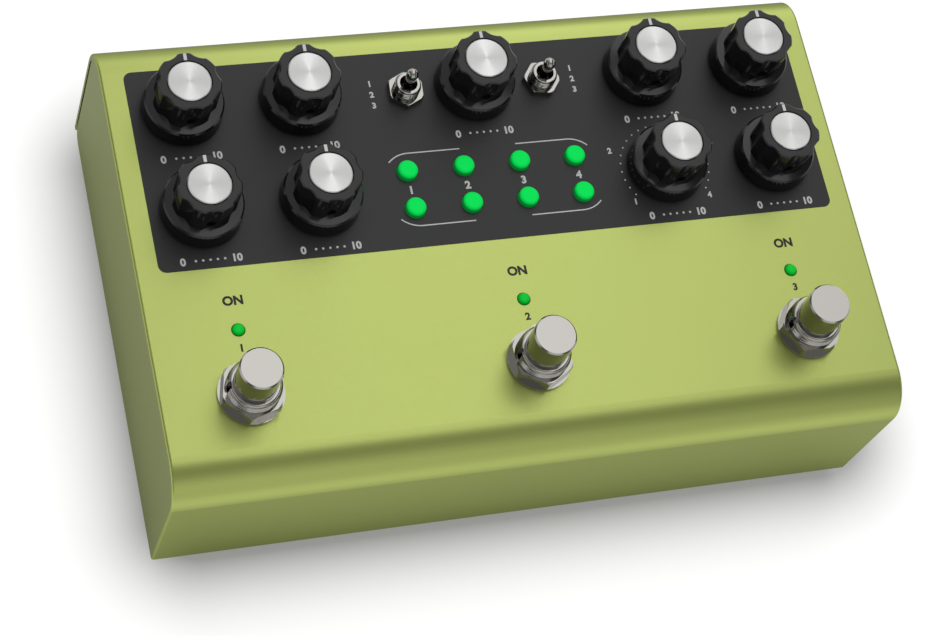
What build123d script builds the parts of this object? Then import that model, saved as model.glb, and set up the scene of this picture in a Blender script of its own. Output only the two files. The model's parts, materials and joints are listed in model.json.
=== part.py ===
"""A delay effect pedal: folded sheet box, fluted knobs, toggles, lit buttons and foot switches."""

import os

from build123d import *

os.makedirs("parts", exist_ok=True)

# Enclosure: one sheet folded into top, front and rear, with the side walls welded in
body_width = 178.0
body_depth = 114.3
wall_height = 44.2
sheet = 1.5
bend_radius = 9.5
edge_round = 0.6
flange_depth = 12.0
flange_bend = 2.5
relief_width = 4.5
relief_height = 1.0
slit_width = 0.9
slit_stop = 5.8
side_corner = 3.5

# Base: bottom plate screwed to the flanges, on rubber feet
plate = 1.5
plate_inset = 1.0
plate_corner = 3.0
screw_radius = 1.45
screw_head_radius = 2.8
screw_head_height = 1.8
screw_head_chamfer = 0.9
screw_side_inset = 27.0
screw_inset = 7.5
screw_tip = 1.0
foot_radius = 6.0
foot_height = 3.0
foot_taper = 12.0
foot_inset = 17.0

# Fits between pieces
fit_gap = 0.05
hole_gap = 0.15
stop_gap = 0.3

# Hexagon nuts: the round upper face and the corners, as shares of the width over the flats
nut_face = 0.54
nut_corner = 0.6
nut_slope = 0.577

# Places of the controls: insets from the faces of the box, and steps from row to row
knob_side_inset = 17.6
knob_rear_inset = 20.25
knob_row_step = 26.1
knob_lead = 15.0
toggle_offset = 17.2
toggle_rear_inset = 20.45
button_pitch = 14.0
button_rear_inset = 41.35
button_row_step = 9.7
switch_side_inset = 20.8
switch_front_inset = 22.05
lamp_step = 15.6

# Knobs: fluted grip on a round skirt, with a turned metal cap let into the top
knob_gap = 1.0
knob_height = 12.9
skirt_radius = 9.4
skirt_height = 4.0
skirt_draft = 0.25
skirt_rise = 0.4
skirt_chamfer = 0.4
skirt_wall = 1.3
hollow_depth = 3.0
hub_wall = 1.55
grip_radius = 7.5
grip_chamfer = 0.3
flutes = 7
flute_radius = 4.4
flute_depth = 0.65
lobe_round = 0.5
cap_rim = 1.8
cap_gap = 0.3
cap_thickness = 1.0
cap_proud = 0.15
cap_chamfer = 0.2
grub_radius = 1.1
grub_height = 6.3

# Potentiometers on the control board
pot_width = 9.5
pot_length = 11.0
pot_collar_wall = 0.45
pot_collar_rise = 0.6
pot_floor = 1.2
shaft_radius = 3.0
shaft_flat = 0.5
shaft_cover = 2.6

# Toggle switches
toggle_width = 8.0
toggle_length = 6.8
toggle_bore = 2.15
toggle_wall = 0.85
toggle_lip = 0.3
toggle_rise = 4.6
toggle_nut_wall = 1.0
toggle_nut_height = 1.8
toggle_nut_turns = (26.0, 52.0)
toggle_pivot_rise = 0.6
lever_neck = 0.8
lever_tip = 1.45
lever_height = 10.2

# Lit push buttons over tact switches
button_radius = 2.45
button_rise = 1.7
button_round = 0.8
button_collar_rim = 0.75
button_collar_height = 0.8
button_travel = 0.6
button_stem = 1.2
tact_size = 6.2
tact_height = 3.5
tact_floor = 1.0

# Indicator lamps
lamp_radius = 1.5
lamp_rise = 0.9
lamp_flange_rim = 0.4

# Foot switches
switch_body = 16.0
switch_body_height = 14.0
switch_wall = 0.95
switch_rise = 7.0
switch_lip = 0.6
switch_keyway = 1.6
switch_keyway_depth = 0.6
switch_nut_wall = 0.7
switch_nut_height = 2.8
switch_nut_turns = (17.0, 30.0, 59.0)
switch_washer_rim = 1.7
switch_washer = 0.9
switch_travel = 1.5
plunger_radius = 5.0
plunger_rise = 8.4
plunger_guide = 9.0
plunger_chamfer = 0.35

# Circuit boards and their standoffs
board = 1.6
board_side_gap = 5.5
board_gap = 7.0
board_switch_gap = 2.1
board_margin = 3.6
main_gap = 1.5
standoff_flats = 5.0
standoff_side_inset = 22.0
standoff_front_inset = 7.0
standoff_jack_gap = 9.0
standoff_lamp_gap = 5.5

# Rear connectors, standing on the main board in one evenly spread row
jack_board_gap = 7.1
jack_size = 15.0
jack_length = 26.0
jack_bore = 3.25
jack_wall = 1.45
jack_floor = 3.5
jack_reach = 5.0
jack_nut_wall = 1.55
jack_nut_height = 2.5
round_size = 18.0
round_length = 13.0
round_nose = 7.5
round_groove = 6.9
round_core = 5.6
round_groove_depth = 7.0
power_width = 9.0
power_size = 11.0
power_length = 14.0
power_nose = 4.0
power_bore = 2.85
power_depth = 9.0
data_width = 9.0
data_size = 3.3
data_length = 7.5
data_wall = 0.35
data_depth = 6.0
data_tongue = 6.6
data_tongue_height = 0.8

# Levels and edges that follow from these sizes; the rear jacks count in the depth
half_width = body_width / 2
floor_z = foot_height + plate
top_z = floor_z + wall_height
under_z = top_z - sheet
mid_y = -jack_reach / 2
front_y = mid_y - body_depth / 2
rear_y = mid_y + body_depth / 2
inner_rear_y = rear_y - sheet
control_top = under_z - board_gap
control_low = control_top - board
jack_z = control_low - jack_board_gap - jack_size / 2
main_top = jack_z - jack_size / 2
round_z = main_top + round_size / 2
power_z = main_top + power_size / 2
data_z = main_top + data_size / 2
tolerance = 0.001

# Round sizes that follow from what runs inside them
pot_collar = shaft_radius + fit_gap + pot_collar_wall
hub_radius = shaft_radius + fit_gap + hub_wall
cap_radius = grip_radius - flute_depth - cap_rim
toggle_thread = toggle_bore + toggle_wall
toggle_nut_flats = 2 * (toggle_thread + toggle_nut_wall)
button_collar = button_radius + button_collar_rim
lamp_flange = lamp_radius + lamp_flange_rim
switch_thread = plunger_radius + fit_gap + switch_wall
switch_nut_flats = 2 * (switch_thread + switch_nut_wall)
switch_washer_radius = switch_thread + switch_washer_rim
jack_thread = jack_bore + jack_wall
jack_nut_flats = 2 * (jack_thread + jack_nut_wall)
jack_bore_length = jack_reach + sheet + jack_length - jack_floor

# Rows of controls; the near knobs stand midway between the far ones and their lead
knob_far = half_width - knob_side_inset
knob_near = (knob_far + knob_lead) / 2
knob_rear_row = rear_y - knob_rear_inset
knob_front_row = knob_rear_row - knob_row_step
toggle_row = rear_y - toggle_rear_inset
button_rear_row = rear_y - button_rear_inset
button_front_row = button_rear_row - button_row_step
switch_pitch = half_width - switch_side_inset
switch_row = front_y + switch_front_inset
lamp_row = switch_row + lamp_step

# Places of the repeated pieces
knob_columns = (-knob_far, -knob_near, 0.0, knob_near, knob_far)
rear_knobs = [(x, knob_rear_row) for x in knob_columns]
front_knobs = [(x, knob_front_row) for x in knob_columns if x != 0.0]
knob_places = rear_knobs + front_knobs
toggle_places = [(x, toggle_row) for x in (-toggle_offset, toggle_offset)]
button_columns = [(index - 1.5) * button_pitch for index in range(4)]
rear_buttons = [(x, button_rear_row) for x in button_columns]
front_buttons = [(x, button_front_row) for x in button_columns]
button_places = rear_buttons + front_buttons
switch_columns = (-switch_pitch, 0.0, switch_pitch)
switch_places = [(x, switch_row) for x in switch_columns]
lamp_places = [(x, lamp_row) for x in switch_columns]
screw_x = half_width - screw_side_inset
screw_columns = (-screw_x, 0.0, screw_x)
screw_places = [(x, y) for y in (front_y + screw_inset, rear_y - screw_inset) for x in screw_columns]
foot_x = half_width - foot_inset
foot_y = body_depth / 2 - foot_inset
foot_places = [(x, mid_y + y) for x in (-foot_x, foot_x) for y in (-foot_y, foot_y)]

# Boards and standoffs
board_width = body_width - 2 * (sheet + board_side_gap)
board_front = switch_row + switch_body / 2 + board_switch_gap
control_rear = knob_rear_row + pot_length / 2 + board_margin
main_rear = inner_rear_y - main_gap
lower_standoff_x = board_width / 2 - standoff_side_inset
lower_standoff_rows = (board_front + standoff_front_inset, inner_rear_y - jack_length - standoff_jack_gap)
rear_standoff_x = (knob_near + knob_far) / 2
rear_standoff_row = (knob_rear_row + knob_front_row) / 2
front_standoff_x = switch_pitch / 2
front_standoff_row = lamp_row + standoff_lamp_gap

# Connectors along the rear wall, with the same gap between all of them
connector_widths = [jack_size] * 2 + [power_width, data_width] + [round_size] * 2 + [jack_size] * 3
connector_gap = (body_width - 2 * sheet - sum(connector_widths)) / (len(connector_widths) + 1)
connector_places = []
connector_edge = sheet - half_width
for width in connector_widths:
    connector_places.append(connector_edge + connector_gap + width / 2)
    connector_edge += connector_gap + width
jack_places = connector_places[:2] + connector_places[6:]
power_place = connector_places[2]
data_place = connector_places[3]
round_places = connector_places[4:6]


def save(builder, name):
    """Name a finished piece and write it."""
    builder.part.label = name
    export_step(builder.part, f"parts/{name}.step")


def upright(place):
    """Plane through a place on the top, seen from the front: across and up."""
    return Plane(origin=(place[0], place[1], 0), x_dir=(1, 0, 0), z_dir=(0, -1, 0))


def upright_axis(place):
    """Vertical axis through a place on the top."""
    return Axis((place[0], place[1], 0), (0, 0, 1))


def wall_outline(inset, low_round):
    """Closed outline of the folded walls from the side, some way inside their outer face."""
    front = front_y + inset
    rear = rear_y - inset
    low = floor_z + inset
    high = top_z - inset
    bend = bend_radius - inset
    corners = ((front, low), (rear, low), (rear, high), (front, high))
    return FilletPolyline(*corners, radius=[low_round, low_round, bend, bend], close=True)


def turned(place, points, mode=Mode.ADD):
    """Turn a closed profile of (radius, height) points about the vertical axis of a place."""
    with BuildSketch(upright(place)) as profile:
        with BuildLine():
            Polyline(*points, close=True)
        make_face()
    revolve(profile.sketch, axis=upright_axis(place), mode=mode)


def hex_nut(place, low, height, flats, bore, turn):
    """A hexagon nut with the tips of its upper corners turned off at 30 degrees."""
    with BuildSketch(Plane.XY.offset(low)) as hexagon:
        with Locations(place):
            RegularPolygon(flats / 2, 6, major_radius=False, rotation=turn)
            Circle(bore, mode=Mode.SUBTRACT)
    extrude(hexagon.sketch, amount=height)
    inner = flats * nut_face
    outer = flats * nut_corner
    high = low + height
    turned(place, [(inner, high), (outer, high), (outer, high - (outer - inner) * nut_slope)], Mode.SUBTRACT)


# Enclosure
with BuildPart() as enclosure:
    with BuildSketch(Plane.YZ):
        with BuildLine():
            wall_outline(0, flange_bend)
        make_face()
        with BuildLine():
            wall_outline(sheet, flange_bend - sheet)
        make_face(mode=Mode.SUBTRACT)
        with Locations((mid_y, floor_z)):
            Rectangle(body_depth - 2 * flange_depth, 4 * sheet, mode=Mode.SUBTRACT)
    extrude(amount=half_width - relief_width, both=True)

    with BuildSketch(Plane.YZ):
        with BuildLine():
            wall_outline(0, 0)
        make_face()
        with BuildLine():
            wall_outline(sheet, 0)
        make_face(mode=Mode.SUBTRACT)
        with Locations((mid_y, floor_z)):
            Rectangle(body_depth - 2 * sheet, 4 * sheet, mode=Mode.SUBTRACT)
            Rectangle(2 * body_depth, 2 * relief_height, mode=Mode.SUBTRACT)
    extrude(amount=half_width, both=True)

    slit_y = inner_rear_y - slit_width / 2
    for side in (-1, 1):
        with BuildSketch(Plane.YZ.offset(side * half_width)) as side_wall:
            with BuildLine():
                wall_outline(0, 0)
            make_face()
            with Locations((mid_y, floor_z)):
                Rectangle(2 * body_depth, 2 * relief_height, mode=Mode.SUBTRACT)
            with Locations((slit_y, top_z - slit_stop)):
                Rectangle(slit_width, wall_height, align=(Align.CENTER, Align.MAX), mode=Mode.SUBTRACT)
            heel = (slit_y - slit_width / 2, floor_z + relief_height)
            fillet(side_wall.vertices().sort_by_distance(heel)[0], side_corner)
        extrude(amount=-side * sheet)

    side_rims = enclosure.edges().filter_by(
        lambda edge: abs(abs(edge.position_at(0.5).X) - half_width) < tolerance
    )
    long_rims = side_rims.filter_by(GeomType.LINE).filter_by(
        lambda edge: min(
            abs(edge.position_at(0.5).Z - top_z),
            abs(edge.position_at(0.5).Y - front_y),
            abs(edge.position_at(0.5).Y - rear_y),
        )
        < tolerance
    )
    bend_rims = side_rims.filter_by(GeomType.CIRCLE).filter_by(
        lambda edge: abs(edge.radius - bend_radius) < tolerance
    )
    fillet(long_rims + bend_rims, edge_round)

    with BuildSketch(Plane.XY.offset(top_z)):
        with Locations(*knob_places):
            Circle(pot_collar + hole_gap)
        with Locations(*toggle_places):
            Circle(toggle_thread + hole_gap)
        with Locations(*button_places):
            Circle(button_radius + stop_gap)
        with Locations(*lamp_places):
            Circle(lamp_radius + hole_gap)
        with Locations(*switch_places):
            Circle(switch_thread + hole_gap)
    extrude(amount=-2 * sheet, mode=Mode.SUBTRACT)

    with BuildSketch(Plane.XZ.offset(-rear_y)):
        with Locations(*[(x, jack_z) for x in jack_places]):
            Circle(jack_thread + hole_gap)
        with Locations(*[(x, round_z) for x in round_places]):
            Circle(round_nose + hole_gap)
        with Locations((power_place, power_z)):
            Circle(power_nose + hole_gap)
        with Locations((data_place, data_z)):
            SlotOverall(data_width + 2 * hole_gap, data_size + 2 * hole_gap)
    extrude(amount=2 * sheet, mode=Mode.SUBTRACT)

    with BuildSketch(Plane.XY.offset(floor_z)):
        with Locations(*screw_places):
            Circle(screw_radius + fit_gap)
    extrude(amount=2 * sheet, mode=Mode.SUBTRACT)
save(enclosure, "enclosure")

# Bottom plate, its screws and the feet
with BuildPart() as bottom_plate:
    with BuildSketch(Plane.XY.offset(foot_height)):
        with Locations((0, mid_y)):
            RectangleRounded(body_width - 2 * plate_inset, body_depth - 2 * plate_inset, plate_corner)
        with Locations(*screw_places):
            Circle(screw_radius + hole_gap, mode=Mode.SUBTRACT)
    extrude(amount=plate)
save(bottom_plate, "bottom_plate")

with BuildPart() as bottom_screws:
    with BuildSketch(Plane.XY.offset(foot_height)):
        with Locations(*screw_places):
            Circle(screw_head_radius)
    extrude(amount=-screw_head_height)
    chamfer(bottom_screws.edges().group_by(Axis.Z)[0], screw_head_chamfer)
    with BuildSketch(Plane.XY.offset(foot_height)):
        with Locations(*screw_places):
            Circle(screw_radius)
    extrude(amount=plate + sheet + screw_tip)
save(bottom_screws, "bottom_screws")

with BuildPart() as rubber_feet:
    with BuildSketch(Plane.XY.offset(foot_height)):
        with Locations(*foot_places):
            Circle(foot_radius)
    extrude(amount=-foot_height, taper=foot_taper)
save(rubber_feet, "rubber_feet")

# Circuit boards, held to the top and to each other by hexagon standoffs
with BuildPart() as control_board:
    with BuildSketch(Plane.XY.offset(control_low)):
        with Locations((0, board_front)):
            Rectangle(board_width, control_rear - board_front, align=(Align.CENTER, Align.MIN))
    extrude(amount=board)
save(control_board, "control_board")

with BuildPart() as main_board:
    with BuildSketch(Plane.XY.offset(main_top)):
        with Locations((0, board_front)):
            Rectangle(board_width, main_rear - board_front, align=(Align.CENTER, Align.MIN))
    extrude(amount=-board)
save(main_board, "main_board")

with BuildPart() as board_standoffs:
    with BuildSketch(Plane.XY.offset(main_top)):
        for x in (-lower_standoff_x, lower_standoff_x):
            with Locations(*[(x, row) for row in lower_standoff_rows]):
                RegularPolygon(standoff_flats / 2, 6, major_radius=False)
    extrude(amount=control_low - main_top)
    with BuildSketch(Plane.XY.offset(control_top)):
        with Locations(*[(x, rear_standoff_row) for x in (-rear_standoff_x, rear_standoff_x)]):
            RegularPolygon(standoff_flats / 2, 6, major_radius=False)
        with Locations(*[(x, front_standoff_row) for x in (-front_standoff_x, front_standoff_x)]):
            RegularPolygon(standoff_flats / 2, 6, major_radius=False)
    extrude(amount=board_gap)
save(board_standoffs, "board_standoffs")

# Potentiometer housings: a block on the board, with a collar through the top round a blind bore
shaft_low = control_top + pot_floor + stop_gap
with BuildPart() as pot_housings:
    with BuildSketch(Plane.XY.offset(control_top)):
        with Locations(*knob_places):
            Rectangle(pot_width, pot_length)
    extrude(amount=board_gap)
    with BuildSketch(Plane.XY.offset(under_z)):
        with Locations(*knob_places):
            Circle(pot_collar)
    extrude(amount=sheet + pot_collar_rise)
    with BuildSketch(Plane.XY.offset(control_top + pot_floor)):
        with Locations(*knob_places):
            Circle(shaft_radius + fit_gap)
    extrude(amount=board_gap + sheet + pot_collar_rise, mode=Mode.SUBTRACT)
save(pot_housings, "pot_housings")

# Knobs, each with its cap and the shaft that carries it
knob_low = top_z + knob_gap
knob_top = knob_low + knob_height
grip_low = knob_low + skirt_height
shaft_top = knob_top - shaft_cover
flute_circle = grip_radius + flute_radius - flute_depth


def make_knob(place, name):
    """Skirt moulded in one piece with a fluted grip; hollow below, bored for the shaft."""
    with BuildPart() as knob:
        foot = skirt_radius + skirt_draft
        shoulder = grip_radius - flute_depth
        turned(place, [
            (0, knob_low), (foot, knob_low), (skirt_radius, grip_low - skirt_chamfer),
            (skirt_radius - skirt_chamfer, grip_low),
            (shoulder, grip_low + skirt_rise), (0, grip_low + skirt_rise),
        ])
        with BuildSketch(Plane.XY.offset(knob_top)) as grip:
            with Locations(place):
                Circle(grip_radius)
                with PolarLocations(flute_circle, flutes, start_angle=90 + 180 / flutes):
                    Circle(flute_radius, mode=Mode.SUBTRACT)
            fillet(grip.vertices(), lobe_round)
        extrude(amount=-(knob_height - skirt_height))
        chamfer(knob.faces().sort_by(Axis.Z)[-1].edges(), grip_chamfer)
        with BuildSketch(Plane.XY.offset(knob_top)):
            with Locations(place):
                Circle(cap_radius + cap_gap)
        extrude(amount=-cap_thickness, mode=Mode.SUBTRACT)
        with BuildSketch(Plane.XY.offset(knob_low)):
            with Locations(place):
                Circle(skirt_radius - skirt_wall)
                Circle(hub_radius, mode=Mode.SUBTRACT)
        extrude(amount=hollow_depth, mode=Mode.SUBTRACT)
        with BuildSketch(Plane.XY.offset(knob_low)):
            with Locations(place):
                Circle(shaft_radius + fit_gap)
        extrude(amount=shaft_top + stop_gap - knob_low, mode=Mode.SUBTRACT)
        with BuildSketch(Plane.XZ.offset(-place[1])):
            with Locations((place[0], knob_low + grub_height)):
                Circle(grub_radius)
        extrude(amount=skirt_radius, mode=Mode.SUBTRACT)
    save(knob, name)


def make_cap(place, name):
    """Turned metal disc with a fine chamfer, let into the top of a knob."""
    with BuildPart() as cap:
        with BuildSketch(Plane.XY.offset(knob_top - cap_thickness)):
            with Locations(place):
                Circle(cap_radius)
        extrude(amount=cap_thickness + cap_proud)
        chamfer(cap.edges().group_by(Axis.Z)[-1], cap_chamfer)
    save(cap, name)


def make_shaft(place, name):
    """Round shaft with a flat for the grub screw at its upper end."""
    with BuildPart() as shaft:
        with BuildSketch(Plane.XY.offset(shaft_low)):
            with Locations(place):
                Circle(shaft_radius)
        extrude(amount=shaft_top - shaft_low)
        with BuildSketch(Plane.XY.offset(knob_low + stop_gap)):
            with Locations((place[0], place[1] - shaft_radius)):
                Rectangle(2 * shaft_radius, 2 * shaft_flat)
        extrude(amount=knob_height, mode=Mode.SUBTRACT)
    save(shaft, name)


knob_names = [f"rear_{index + 1}" for index in range(len(rear_knobs))]
knob_names += [f"front_{index + 1}" for index in range(len(front_knobs))]
for place, name in zip(knob_places, knob_names):
    make_knob(place, f"knob_{name}")
    make_cap(place, f"knob_cap_{name}")
    make_shaft(place, f"shaft_{name}")

# Toggle switches: body under the top, threaded bushing, nut and bat-shaped lever
toggle_top = top_z + toggle_rise
pivot_z = top_z + toggle_pivot_rise
ball_radius = toggle_bore - fit_gap
with BuildPart() as toggle_bodies:
    with BuildSketch(Plane.XY.offset(control_top)):
        with Locations(*toggle_places):
            Rectangle(toggle_width, toggle_length)
    extrude(amount=board_gap)
    with BuildSketch(Plane.XY.offset(under_z)):
        with Locations(*toggle_places):
            Circle(toggle_thread)
    extrude(amount=toggle_top - under_z)
    fillet(toggle_bodies.edges().group_by(Axis.Z)[-1], toggle_lip)
    with BuildSketch(Plane.XY.offset(toggle_top)):
        with Locations(*toggle_places):
            Circle(toggle_bore)
    extrude(amount=-(toggle_top - pivot_z + toggle_bore + stop_gap), mode=Mode.SUBTRACT)
save(toggle_bodies, "toggle_bodies")

with BuildPart() as toggle_nuts:
    for place, turn in zip(toggle_places, toggle_nut_turns):
        hex_nut(place, top_z, toggle_nut_height, toggle_nut_flats, toggle_thread + fit_gap, turn)
save(toggle_nuts, "toggle_nuts")


def make_lever(place, name):
    """Lever that swells from a thin neck to a rounded tip, on the ball that it pivots about."""
    tip_z = top_z + lever_height
    bat_z = tip_z - lever_tip
    with BuildPart() as lever:
        turned(place, [(0, pivot_z), (lever_neck, pivot_z), (lever_tip, bat_z), (0, bat_z)])
        with Locations((place[0], place[1], bat_z)):
            Sphere(lever_tip)
        with Locations((place[0], place[1], pivot_z)):
            Sphere(ball_radius)
    save(lever, name)


for side, place in zip(("left", "right"), toggle_places):
    make_lever(place, f"toggle_lever_{side}")

# Push buttons: round caps kept in by a collar, with a stem in the tact switch below
collar_top = under_z - stop_gap
stem_low = control_top + tact_floor + button_travel + stop_gap
with BuildPart() as button_switches:
    with BuildSketch(Plane.XY.offset(control_top)):
        with Locations(*button_places):
            RectangleRounded(tact_size, tact_size, button_stem / 2)
    extrude(amount=tact_height)
    with BuildSketch(Plane.XY.offset(control_top + tact_floor)):
        with Locations(*button_places):
            Circle(button_stem + fit_gap)
    extrude(amount=tact_height, mode=Mode.SUBTRACT)
save(button_switches, "button_switches")


def make_button(place, name):
    """Cap with a rounded rim, kept in by a collar under the top, with a stem below."""
    with BuildPart() as button:
        with BuildSketch(Plane.XY.offset(top_z + button_rise)):
            with Locations(place):
                Circle(button_radius)
        extrude(amount=-(top_z + button_rise - collar_top))
        fillet(button.edges().group_by(Axis.Z)[-1], button_round)
        with BuildSketch(Plane.XY.offset(collar_top)):
            with Locations(place):
                Circle(button_collar)
        extrude(amount=-button_collar_height)
        with BuildSketch(Plane.XY.offset(stem_low)):
            with Locations(place):
                Circle(button_stem)
        extrude(amount=collar_top - stem_low)
    save(button, name)


for index, place in enumerate(rear_buttons):
    make_button(place, f"button_rear_{index + 1}")
for index, place in enumerate(front_buttons):
    make_button(place, f"button_front_{index + 1}")

# Indicator lamps: round lens through the top on a spacer that stands on the board
with BuildPart() as indicator_lamps:
    with BuildSketch(Plane.XY.offset(control_top)):
        with Locations(*lamp_places):
            Circle(lamp_flange)
    extrude(amount=board_gap)
    with BuildSketch(Plane.XY.offset(under_z)):
        with Locations(*lamp_places):
            Circle(lamp_radius)
    extrude(amount=sheet + lamp_rise)
    fillet(indicator_lamps.edges().group_by(Axis.Z)[-1], lamp_rise)
save(indicator_lamps, "indicator_lamps")

# Foot switches: body and threaded bushing, washer, nut and plunger
switch_top = top_z + switch_rise
nut_low = top_z + switch_washer
with BuildPart() as footswitch_bodies:
    with BuildSketch(Plane.XY.offset(under_z)):
        with Locations(*switch_places):
            Rectangle(switch_body, switch_body)
    extrude(amount=-switch_body_height)
    with BuildSketch(Plane.XY.offset(under_z)):
        with Locations(*switch_places):
            Circle(switch_thread)
    extrude(amount=switch_top - under_z)
    fillet(footswitch_bodies.edges().group_by(Axis.Z)[-1], switch_lip)
    with BuildSketch(Plane.XY.offset(top_z)):
        for x, y in switch_places:
            with Locations((x - switch_thread, y)):
                Rectangle(2 * switch_keyway_depth, switch_keyway)
    extrude(amount=switch_rise, mode=Mode.SUBTRACT)
    with BuildSketch(Plane.XY.offset(switch_top)):
        with Locations(*switch_places):
            Circle(plunger_radius + fit_gap)
    extrude(amount=-(plunger_guide + switch_travel + stop_gap), mode=Mode.SUBTRACT)
save(footswitch_bodies, "footswitch_bodies")

with BuildPart() as footswitch_washers:
    with BuildSketch(Plane.XY.offset(top_z)):
        with Locations(*switch_places):
            Circle(switch_washer_radius)
            Circle(switch_thread + fit_gap, mode=Mode.SUBTRACT)
    extrude(amount=switch_washer)
save(footswitch_washers, "footswitch_washers")

with BuildPart() as footswitch_nuts:
    for place, turn in zip(switch_places, switch_nut_turns):
        hex_nut(place, nut_low, switch_nut_height, switch_nut_flats, switch_thread + fit_gap, turn)
save(footswitch_nuts, "footswitch_nuts")


def make_plunger(place, name):
    """Round plunger with a chamfered rim that slides in the bushing."""
    with BuildPart() as plunger:
        with BuildSketch(Plane.XY.offset(switch_top + plunger_rise)):
            with Locations(place):
                Circle(plunger_radius)
        extrude(amount=-(plunger_rise + plunger_guide))
        chamfer(plunger.edges().group_by(Axis.Z)[-1], plunger_chamfer)
    save(plunger, name)


for side, place in zip(("left", "middle", "right"), switch_places):
    make_plunger(place, f"footswitch_plunger_{side}")

# Jacks: moulded block against the rear wall, with a threaded, bored nose and its nut
jack_mouth_y = rear_y + jack_reach
with BuildPart() as audio_jacks:
    with BuildSketch(Plane.XZ.offset(-inner_rear_y)):
        with Locations(*[(x, jack_z) for x in jack_places]):
            Rectangle(jack_size, jack_size)
    extrude(amount=jack_length)
    with BuildSketch(Plane.XZ.offset(-jack_mouth_y)):
        with Locations(*[(x, jack_z) for x in jack_places]):
            Circle(jack_thread)
    extrude(amount=jack_reach + sheet)
    with BuildSketch(Plane.XZ.offset(-jack_mouth_y)):
        with Locations(*[(x, jack_z) for x in jack_places]):
            Circle(jack_bore)
    extrude(amount=jack_bore_length, mode=Mode.SUBTRACT)
save(audio_jacks, "audio_jacks")

with BuildPart() as jack_nuts:
    with BuildSketch(Plane.XZ.offset(-rear_y)):
        with Locations(*[(x, jack_z) for x in jack_places]):
            RegularPolygon(jack_nut_flats / 2, 6, major_radius=False)
            Circle(jack_thread + fit_gap, mode=Mode.SUBTRACT)
    extrude(amount=-jack_nut_height)
save(jack_nuts, "jack_nuts")

# Round sockets: block behind the wall, and a nose with a ring groove round its core
with BuildPart() as round_sockets:
    with BuildSketch(Plane.XZ.offset(-inner_rear_y)):
        with Locations(*[(x, round_z) for x in round_places]):
            Rectangle(round_size, round_size)
    extrude(amount=round_length)
    with BuildSketch(Plane.XZ.offset(-rear_y)):
        with Locations(*[(x, round_z) for x in round_places]):
            Circle(round_nose)
    extrude(amount=sheet)
    with BuildSketch(Plane.XZ.offset(-rear_y)):
        with Locations(*[(x, round_z) for x in round_places]):
            Circle(round_groove)
            Circle(round_core, mode=Mode.SUBTRACT)
    extrude(amount=round_groove_depth, mode=Mode.SUBTRACT)
save(round_sockets, "round_sockets")

# Power inlet: block behind the wall, and a nose with a round mouth
with BuildPart() as power_inlet:
    with BuildSketch(Plane.XZ.offset(-inner_rear_y)):
        with Locations((power_place, power_z)):
            Rectangle(power_width, power_size)
    extrude(amount=power_length)
    with BuildSketch(Plane.XZ.offset(-rear_y)):
        with Locations((power_place, power_z)):
            Circle(power_nose)
    extrude(amount=sheet)
    with BuildSketch(Plane.XZ.offset(-rear_y)):
        with Locations((power_place, power_z)):
            Circle(power_bore)
    extrude(amount=power_depth, mode=Mode.SUBTRACT)
save(power_inlet, "power_inlet")

# Data socket: folded shell with rounded ends round a flat tongue
with BuildPart() as data_socket:
    with BuildSketch(Plane.XZ.offset(-rear_y)):
        with Locations((data_place, data_z)):
            SlotOverall(data_width, data_size)
    extrude(amount=data_length + sheet)
    with BuildSketch(Plane.XZ.offset(-rear_y)):
        with Locations((data_place, data_z)):
            SlotOverall(data_width - 2 * data_wall, data_size - 2 * data_wall)
            Rectangle(data_tongue, data_tongue_height, mode=Mode.SUBTRACT)
    extrude(amount=data_depth, mode=Mode.SUBTRACT)
save(data_socket, "data_socket")
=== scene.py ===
import json
import math

import bmesh
import bpy
import numpy as np
from mathutils import Matrix, Quaternion, Vector


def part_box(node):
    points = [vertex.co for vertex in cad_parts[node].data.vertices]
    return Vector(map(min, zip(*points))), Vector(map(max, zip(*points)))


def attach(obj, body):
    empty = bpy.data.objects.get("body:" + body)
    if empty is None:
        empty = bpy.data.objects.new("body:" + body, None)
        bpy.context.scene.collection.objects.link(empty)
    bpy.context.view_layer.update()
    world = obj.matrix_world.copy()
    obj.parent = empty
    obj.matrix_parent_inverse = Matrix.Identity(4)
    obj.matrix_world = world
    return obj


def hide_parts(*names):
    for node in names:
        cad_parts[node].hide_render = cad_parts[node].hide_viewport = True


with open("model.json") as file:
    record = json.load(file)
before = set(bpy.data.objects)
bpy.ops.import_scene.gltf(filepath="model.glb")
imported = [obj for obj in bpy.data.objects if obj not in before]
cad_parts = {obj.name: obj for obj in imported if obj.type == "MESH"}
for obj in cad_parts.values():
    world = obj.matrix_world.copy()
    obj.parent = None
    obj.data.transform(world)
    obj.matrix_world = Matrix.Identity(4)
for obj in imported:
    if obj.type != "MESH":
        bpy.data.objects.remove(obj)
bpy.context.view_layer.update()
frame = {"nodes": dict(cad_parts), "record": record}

# The shell is one sheet of aluminium, folded and welded, bead blasted and then dyed lime
# green in the anodising bath. The bottom plate is cut from the same sheet and dyed with it.
MM = 0.001


def finish_material(name, base, metallic, roughness):
    """A Principled material with the constants set on its own sockets."""
    material = bpy.data.materials.new(name)
    material.use_nodes = True
    shader = material.node_tree.nodes["Principled BSDF"]
    shader.inputs["Base Color"].default_value = (*base, 1)
    shader.inputs["Metallic"].default_value = metallic
    shader.inputs["Roughness"].default_value = roughness
    return material, shader


def grain(material, scale, detail=3.0, stretch=(1, 1, 1)):
    """Noise over Object coordinates, measured in cells per metre."""
    tree = material.node_tree
    place = tree.nodes.new("ShaderNodeTexCoord")
    mapping = tree.nodes.new("ShaderNodeMapping")
    mapping.inputs["Scale"].default_value = stretch
    noise = tree.nodes.new("ShaderNodeTexNoise")
    noise.inputs["Scale"].default_value = scale
    noise.inputs["Detail"].default_value = detail
    tree.links.new(place.outputs["Object"], mapping.inputs["Vector"])
    tree.links.new(mapping.outputs["Vector"], noise.inputs["Vector"])
    return noise.outputs["Fac"]


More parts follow.
